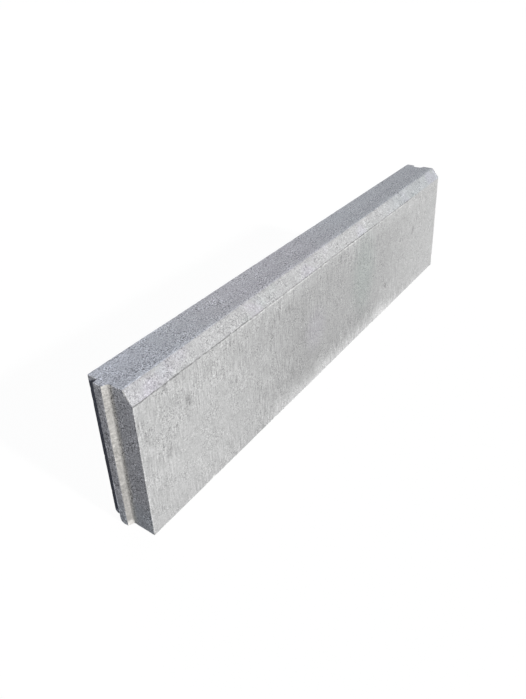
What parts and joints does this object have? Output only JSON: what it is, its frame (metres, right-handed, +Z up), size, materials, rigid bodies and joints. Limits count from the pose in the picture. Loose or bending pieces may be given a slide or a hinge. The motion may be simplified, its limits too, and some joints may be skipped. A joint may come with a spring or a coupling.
{
  "type": "concrete kerb stone",
  "caption": "Straight concrete kerb stone with a bevelled top front edge, a full-height tongue on one end and a matching groove in the other, laid end to end along a path or bed.",
  "frame": {"origin": "middle of the bed, halfway between the two end faces and between the front and rear faces; the tongue is not counted", "axes": "+X along the stone from the tongue end to the groove end, +Y from the bevelled front face to the rear face, +Z up from the bed"},
  "size_m": [1.009, 0.08, 0.25],
  "materials": {
    "concrete": "matt, as cast"
  },
  "bodies": {
    "root": {"kerb_stone": "concrete"}
  },
  "joints": []
}
